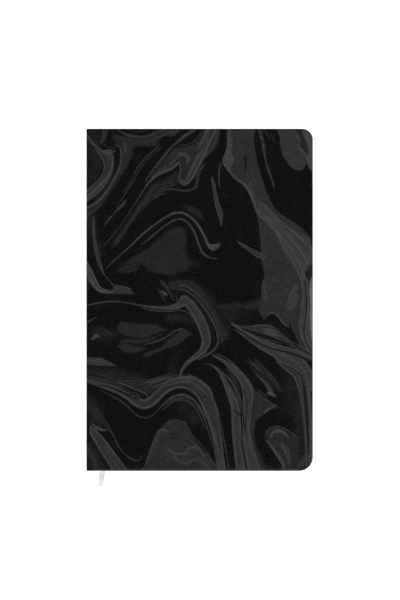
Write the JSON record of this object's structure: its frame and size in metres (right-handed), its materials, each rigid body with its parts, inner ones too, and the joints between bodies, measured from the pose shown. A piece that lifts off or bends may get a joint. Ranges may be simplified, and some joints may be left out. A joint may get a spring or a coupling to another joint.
{
  "type": "composition notebook",
  "caption": "Hardbound notebook with a marbled black and grey cover, rounded outer corners, ruled leaves and a ribbon marker, lying closed.",
  "frame": {"origin": "middle of the back cover's outer face, on which the notebook lies", "axes": "+X from the spine to the fore edge, +Y from tail to head, +Z from the back cover to the front cover"},
  "size_m": [0.139, 0.2201, 0.0155],
  "materials": {
    "cover_print": "soft matt printed sheet, black with grey marbling",
    "board": "plain grey board",
    "endpaper": "smooth uncoated white paper",
    "leaves": "uncoated white paper with fine grey rules",
    "lining": "open woven cotton",
    "band": "woven pale grey beading",
    "ribbon": "pale grey satin ribbon"
  },
  "bodies": {
    "block": {"page_block": "leaves", "spine_lining": "lining", "head_band": "band", "tail_band": "band", "ribbon_marker": "ribbon", "spine_card": "board", "spine_wrap": "cover_print"},
    "front_cover": {"front_wrap": "cover_print", "front_board": "board", "front_hinge_cloth": "lining", "front_endpaper": "endpaper"},
    "back_cover": {"back_wrap": "cover_print", "back_board": "board", "back_hinge_cloth": "lining", "back_endpaper": "endpaper"}
  },
  "joints": [
    {"name": "front_cover_hinge", "type": "hinge", "parent": "block", "child": "front_cover", "pos_m": [-0.0681, 0, 0.01555], "axis": [0, -1, 0], "range_deg": [0, 179]},
    {"name": "back_cover_hinge", "type": "hinge", "parent": "block", "child": "back_cover", "pos_m": [-0.0681, 0, 0], "axis": [0, 1, 0], "range_deg": [0, 179]}
  ]
}
